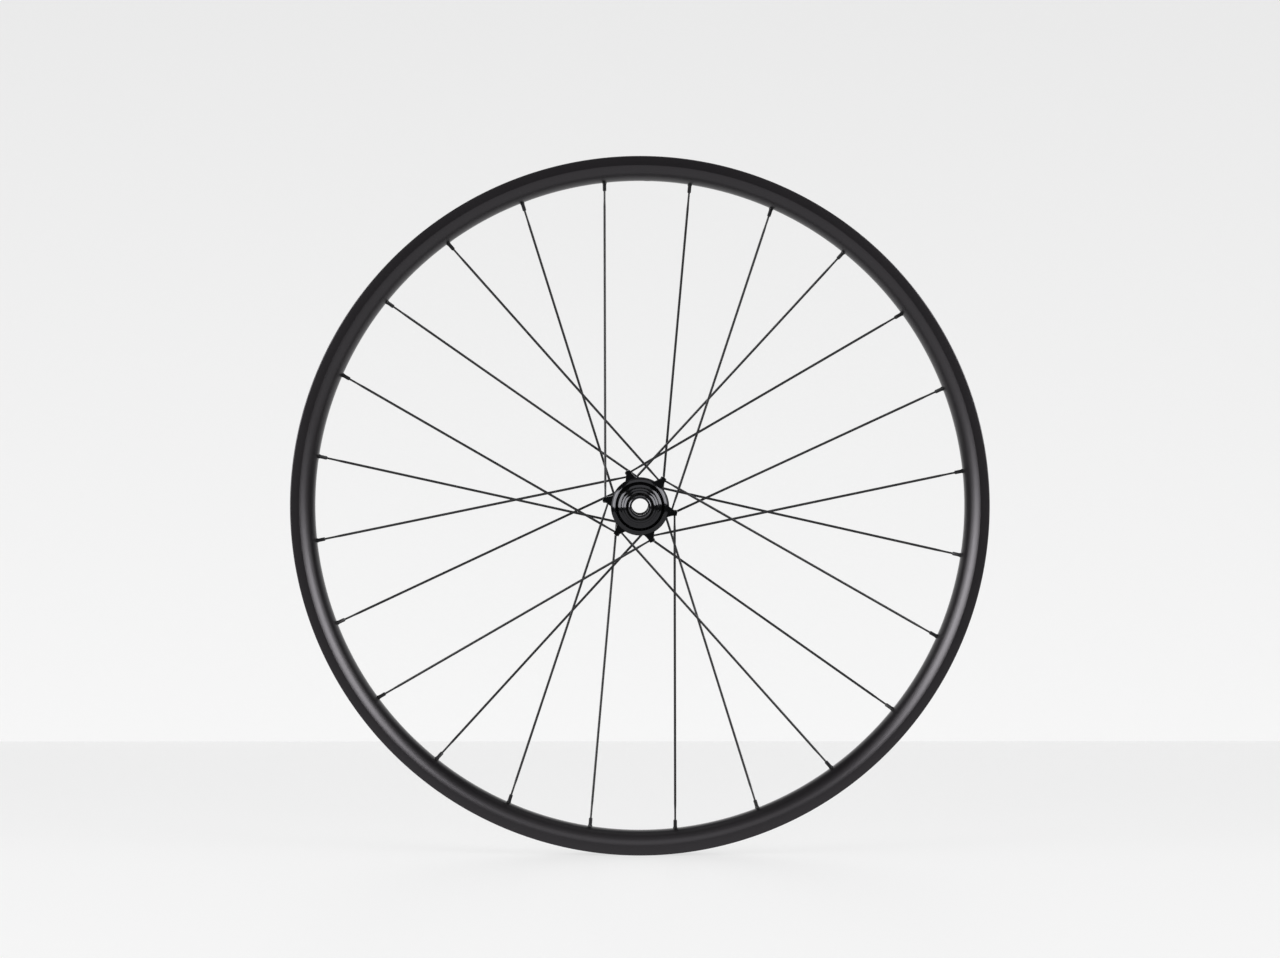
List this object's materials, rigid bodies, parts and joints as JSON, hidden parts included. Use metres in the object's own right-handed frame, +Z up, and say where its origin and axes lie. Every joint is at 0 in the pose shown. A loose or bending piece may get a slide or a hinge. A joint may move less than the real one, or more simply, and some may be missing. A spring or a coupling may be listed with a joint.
{
  "type": "bicycle front wheel",
  "caption": "Mountain bike front wheel without tyre: carbon rim, crossed bladed spokes and a straight-pull disc hub that turns on sealed bearings.",
  "frame": {"origin": "the wheel's centre: on the axle's axis, midway between the outer faces of the end caps", "axes": "+Y along the axle from the disc side to the other side, +Z up through the valve hole's side of the rim, +X to the right as seen from the disc side"},
  "size_m": [0.6329, 0.11, 0.633],
  "materials": {
    "rim_carbon": "satin carbon composite",
    "spoke_black": "black oxidised stainless steel",
    "nipple_black": "glossy black anodised",
    "hub_black": "glossy black anodised",
    "axle_alloy": "plain machined",
    "cap_black": "satin black anodised",
    "seal_rubber": "matt black rubber",
    "bearing_steel": "ground steel",
    "ball_steel": "polished steel"
  },
  "bodies": {
    "axle_unit": {"axle": "axle_alloy", "end_cap_left": "cap_black", "end_cap_right": "cap_black", "bearing_inner_ring_left": "bearing_steel", "bearing_inner_ring_right": "bearing_steel"},
    "wheel": {"rim": "rim_carbon", "hub_shell": "hub_black", "nipples": "nipple_black", "spoke_01": "spoke_black", "spoke_02": "spoke_black", "spoke_03": "spoke_black", "spoke_04": "spoke_black", "spoke_05": "spoke_black", "spoke_06": "spoke_black", "spoke_07": "spoke_black", "spoke_08": "spoke_black", "spoke_09": "spoke_black", "spoke_10": "spoke_black", "spoke_11": "spoke_black", "spoke_12": "spoke_black", "spoke_13": "spoke_black", "spoke_14": "spoke_black", "spoke_15": "spoke_black", "spoke_16": "spoke_black", "spoke_17": "spoke_black", "spoke_18": "spoke_black", "spoke_19": "spoke_black", "spoke_20": "spoke_black", "spoke_21": "spoke_black", "spoke_22": "spoke_black", "spoke_23": "spoke_black", "spoke_24": "spoke_black", "bearing_outer_ring_left": "bearing_steel", "bearing_outer_ring_right": "bearing_steel", "dust_seal_left": "seal_rubber", "dust_seal_right": "seal_rubber"},
    "ball_row_left": {"bearing_balls_left": "ball_steel"},
    "ball_row_right": {"bearing_balls_right": "ball_steel"}
  },
  "joints": [
    {"name": "wheel_spin", "type": "hinge", "parent": "axle_unit", "child": "wheel", "pos_m": [0, 0, 0], "axis": [0, 1, 0], "continuous": true},
    {"name": "ball_row_left_spin", "type": "hinge", "parent": "axle_unit", "child": "ball_row_left", "pos_m": [0, -0.0367, 0], "axis": [0, 1, 0], "continuous": true},
    {"name": "ball_row_right_spin", "type": "hinge", "parent": "axle_unit", "child": "ball_row_right", "pos_m": [0, 0.0405, 0], "axis": [0, 1, 0], "continuous": true}
  ],
  "couplings": [
    {"joint": "ball_row_left_spin", "follows": "wheel_spin", "ratio": 0.555},
    {"joint": "ball_row_right_spin", "follows": "wheel_spin", "ratio": 0.555}
  ]
}
